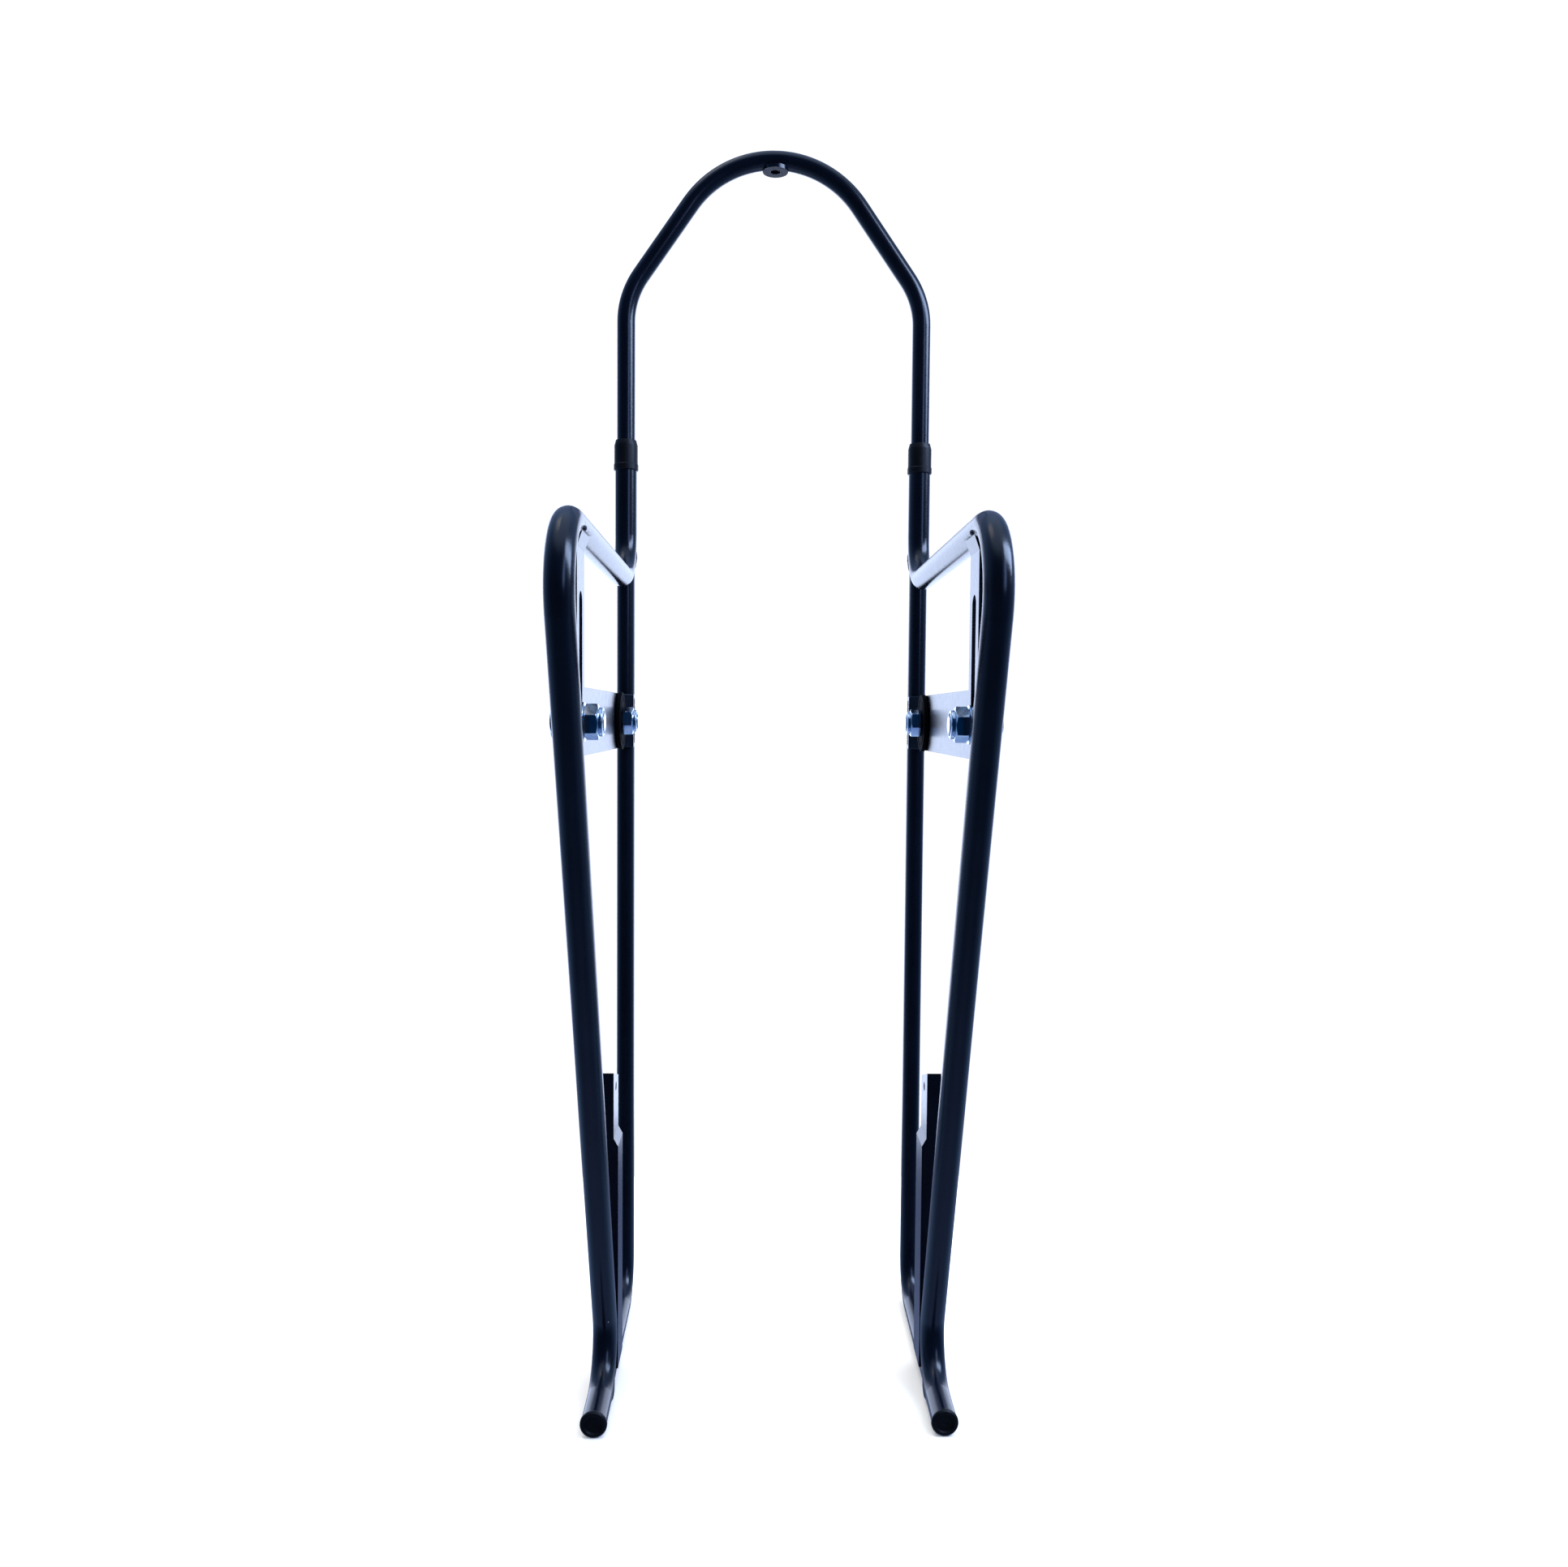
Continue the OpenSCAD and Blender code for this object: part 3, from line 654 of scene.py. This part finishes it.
def surface_hits(node, starts, way):
    """Where rays from the starts, all in one direction, first meet a CAD node."""
    tree = BVHTree.FromPolygons(
        [vertex.co for vertex in nodes[node].data.vertices],
        [polygon.vertices for polygon in nodes[node].data.polygons],
    )
    hits = (tree.ray_cast(Vector(start), Vector(way), RAY_REACH)[0] for start in starts)
    return [hit for hit in hits if hit]


def weld(name, points, radius=WELD_R, closed=False):
    """A bead of overlapping ripples along the points, rounded off at its ends."""
    bm = bmesh.new()
    rings, travelled = [], 0.0
    for index, point in enumerate(points):
        after = points[(index + 1) % len(points)] if closed or index + 1 < len(points) else point
        before = points[index - 1] if closed or index else point
        way = (after - before).normalized()
        across = way.orthogonal() if not rings else (across - way * across.dot(way))
        across.normalize()
        travelled += (point - before).length if index else 0
        from_end = min(index, len(points) - 1 - index)
        end = 1.0 if closed else min(1, END_SHARE + from_end * END_SHARE)
        ripple = 1 - RIPPLE * (travelled / RIPPLE_PITCH % 1)
        ring = []
        for step in range(WELD_SIDES):
            angle = 2 * math.pi * step / WELD_SIDES
            out = across * math.cos(angle) + way.cross(across) * math.sin(angle)
            ring.append(bm.verts.new(point + out * radius * ripple * end))
        rings.append(ring)
    for low, high in zip(rings, rings[1:]):
        bridge(bm, low, high)
    if closed:
        bridge(bm, rings[-1], rings[0])
    else:
        bm.faces.new(rings[0])
        bm.faces.new(rings[-1])
    finish_piece(name, bm, Matrix.Identity(4), "coat", "frame", sharp=WELD_SHARP)


def even(first, last, count):
    """Points at even steps from one to the other."""
    first, last = Vector(first), Vector(last)
    return [first.lerp(last, step / (count - 1)) for step in range(count)]


def circle(middle, first, second, radius):
    """Points around a circle that starts on its first axis."""
    angles = (2 * math.pi * step / RING_POINTS for step in range(RING_POINTS))
    return [
        Vector(middle) + (Vector(first) * math.cos(angle) + Vector(second) * math.sin(angle)) * radius
        for angle in angles
    ]


def weld_side(side_name, side):
    """The beads that join one side frame's rod, straps and bracket."""
    tube, rod = f"{side_name}_side_tube", f"{side_name}_rear_rod"
    rod_low, rod_high = (Vector(corner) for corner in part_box(rod))
    centre = (rod_low.x + rod_high.x) / 2
    rod_r = (rod_high.x - rod_low.x) / 2
    rear = rod_high.y - rod_r
    strap_low, strap_high = (Vector(corner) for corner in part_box(f"{side_name}_slot_strap"))

    # rings round the rod: at its top end, and at its front end where the floor cuts the ring off
    ring = circle((centre, rear, UNDER_TOP_BAR), (1, 0, 0), (0, 1, 0), rod_r + OFF_SURFACE)
    weld(f"{side_name}_top_weld", surface_hits(tube, ring, (0, 0, 1)), closed=True)
    start = (centre, rod_low.y + BEHIND_LOWER_BEND, rod_r)
    ring = circle(start, (0, 0, -1), (side, 0, 0), rod_r + OFF_SURFACE)
    ring = [point for point in ring if point.z > WELD_R]
    weld(f"{side_name}_floor_weld", surface_hits(tube, ring, (0, -1, 0)))

    # the slotted strap, up against the top bar
    inner = strap_low.x if side > 0 else strap_high.x
    x, z = inner - side * OFF_SURFACE, strap_high.z - STRAP_WELD_DROP
    line = even((x, strap_low.y + WELD_R, z), (x, strap_high.y - WELD_R, z), LINE_POINTS["strap"])
    weld(f"{side_name}_strap_weld", surface_hits(tube, line, (0, 0, 1)))

    # the lower strap, forward against the side tube and down against the rod
    foot_low, foot_high = (Vector(corner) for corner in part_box(f"{side_name}_lower_strap"))
    inner = foot_low.x if side > 0 else foot_high.x
    outer = (foot_high.x if side > 0 else foot_low.x) - side * STRAP_STEP
    start = foot_high.y + BEHIND_FOOT_STRAP
    for face, x in (("inner", inner + side * THIN_WELD_R), ("outer", outer + side * FOOT_WELD_OUT)):
        line = even((x, start, FOOT_WELD_BOTTOM), (x, start, FOOT_WELD_TOP), LINE_POINTS["foot"])
        hits = [hit for hit in surface_hits(tube, line, (0, -1, 0)) if hit.y > foot_low.y - FOOT_WELD_REACH]
        weld(f"{side_name}_foot_weld_{face}", hits, radius=THIN_WELD_R)
    x, z = outer + side * FOOT_WELD_OUT, ABOVE_ROD
    line = even((x, foot_low.y + 2 * WELD_R, z), (x, foot_high.y, z), LINE_POINTS["foot_rod"])
    weld(f"{side_name}_foot_weld_rod", surface_hits(rod, line, (0, 0, -1)), radius=THIN_WELD_R)

    # the pivot bracket, outwards against the rod
    bracket_low, bracket_high = (Vector(corner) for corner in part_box(f"{side_name}_pivot_bracket"))
    x, y = centre - side * INSIDE_ROD, rear - rod_r * BRACKET_WELD_SHARE
    line = even((x, y, bracket_low.z + WELD_R), (x, y, bracket_high.z - WELD_R), LINE_POINTS["bracket"])
    weld(f"{side_name}_bracket_weld", surface_hits(rod, line, (side, 0, 0)), radius=THIN_WELD_R)


# ---------------------------------------------------------------- CAD nodes that are shown as they are

SOFT_EDGES = {
    "slot_strap": 0.45 * MM, "lower_strap": 0.5 * MM, "swing_plate": 0.45 * MM,
    "pivot_bracket": 0.4 * MM, "collar": 0.25 * MM, "set_screw": 0.12 * MM,
}
MERGE_WITHIN = 0.01 * MM
FLAT_WITHIN = 0.4       # degrees between faces that are taken as one
ROUND_ABOVE = 32        # degrees at an edge from which it is rounded


def soften(node, width):
    """Rounds a CAD node's sharp edges with modifiers."""
    weld_points = node.modifiers.new("weld", "WELD")
    weld_points.merge_threshold = MERGE_WITHIN
    flat = node.modifiers.new("flat", "DECIMATE")
    flat.decimate_type = "DISSOLVE"
    flat.angle_limit = math.radians(FLAT_WITHIN)
    round_over = node.modifiers.new("edge", "BEVEL")
    round_over.width = width
    round_over.segments = CURVE_STEPS
    round_over.limit_method = "ANGLE"
    round_over.angle_limit = math.radians(ROUND_ABOVE)
    normals = node.modifiers.new("normals", "WEIGHTED_NORMAL")
    normals.keep_sharp = True


def dress_nodes():
    """Gives each CAD node its slot's material, and soft edges where it is cut from plate."""
    for name, node in nodes.items():
        slot = node.material_slots[0].material.name
        node.material_slots[0].material = MATERIALS[slot]
        width = SOFT_EDGES.get(name.split("_", 1)[-1])
        if width:
            soften(node, width)


def make_pieces():
    """Both sides' fasteners, moulded pieces and welds."""
    for side_name, side in SIDES:
        hex_bolt(side_name, side, "slot", f"{side_name}_slider")
        hex_bolt(side_name, side, "pivot", "frame")
        lock_nut(side_name, side, "slot", f"{side_name}_slider", SLOT_NUT_TURN[side_name])
        lock_nut(side_name, side, "pivot", "frame", PIVOT_NUT_TURN * side)
        washer(side_name, side, f"{side_name}_slider")
        friction_disc(side_name, side, "frame")
        end_cap(side_name)
        weld_side(side_name, side)


make_camera()
make_studio()
make_pieces()
dress_nodes()
